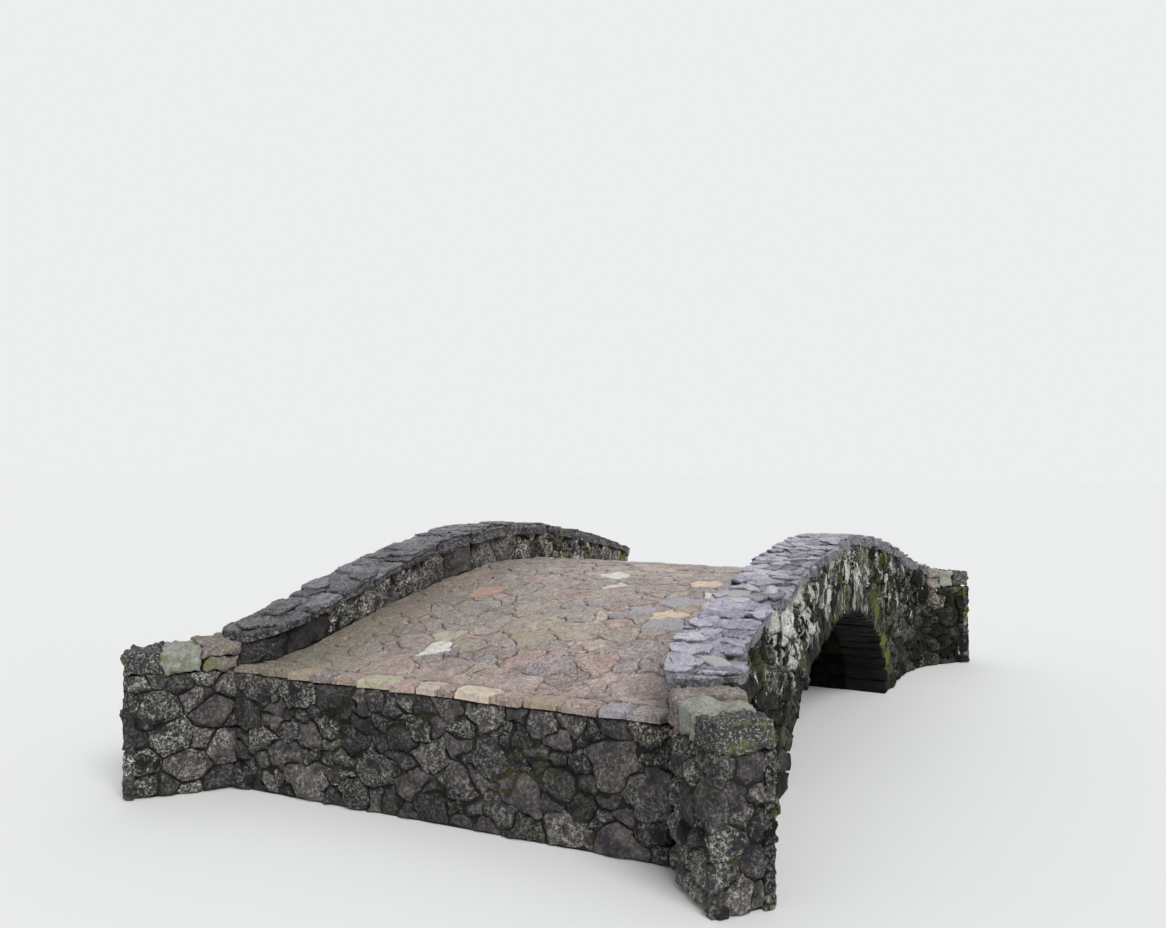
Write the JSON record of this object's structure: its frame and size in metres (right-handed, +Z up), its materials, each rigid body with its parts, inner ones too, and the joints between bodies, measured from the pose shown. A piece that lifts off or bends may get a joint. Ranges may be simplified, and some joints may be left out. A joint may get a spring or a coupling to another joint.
{
  "type": "garden moon bridge",
  "caption": "Rustic stone moon bridge for a garden stream: a low masonry arch with a humped flagstone walk between slab-coped rubble parapets that flare at the ends.",
  "frame": {"origin": "on the stream bed under the crown of the arch, at the middle of the bridge's footing", "axes": "+X runs along the walk from the near end to the far end, +Y runs across the walk from the front face to the back face, +Z is up"},
  "size_m": [7.6792, 4.6492, 1.6296],
  "materials": {
    "arch_stone": "rough split stone, dark and lichened",
    "vault_stone": "rough stone, damp and mossy",
    "fill_stone": "coarse rubble",
    "coping_slate": "wet split slate",
    "paving_flagstone": "worn flagstone, slightly wet",
    "pale_flagstone": "worn pale sandstone",
    "boulder_stone": "weathered granite",
    "wall_stone": "rough rubble with lichen"
  },
  "bodies": {
    "root": {"front_ring": "arch_stone", "back_ring": "arch_stone", "arch_barrel": "vault_stone", "near_fill": "fill_stone", "far_fill": "fill_stone", "near_end_wall": "wall_stone", "far_end_wall": "wall_stone", "near_front_spandrel": "wall_stone", "far_front_spandrel": "wall_stone", "near_back_spandrel": "wall_stone", "far_back_spandrel": "wall_stone", "near_front_parapet": "wall_stone", "crown_front_parapet": "wall_stone", "far_front_parapet": "wall_stone", "near_back_parapet": "wall_stone", "crown_back_parapet": "wall_stone", "far_back_parapet": "wall_stone", "near_front_coping": "coping_slate", "crown_front_coping": "coping_slate", "far_front_coping": "coping_slate", "near_back_coping": "coping_slate", "crown_back_coping": "coping_slate", "far_back_coping": "coping_slate", "near_front_wing": "wall_stone", "far_front_wing": "wall_stone", "near_back_wing": "wall_stone", "far_back_wing": "wall_stone", "near_front_wing_coping": "coping_slate", "far_front_wing_coping": "coping_slate", "near_back_wing_coping": "coping_slate", "far_back_wing_coping": "coping_slate", "near_front_boulders": "boulder_stone", "far_front_boulders": "boulder_stone", "near_back_boulders": "boulder_stone", "far_back_boulders": "boulder_stone", "near_paving": "paving_flagstone", "crown_paving": "paving_flagstone", "far_paving": "paving_flagstone", "near_threshold": "pale_flagstone", "far_threshold": "pale_flagstone"}
  },
  "joints": []
}
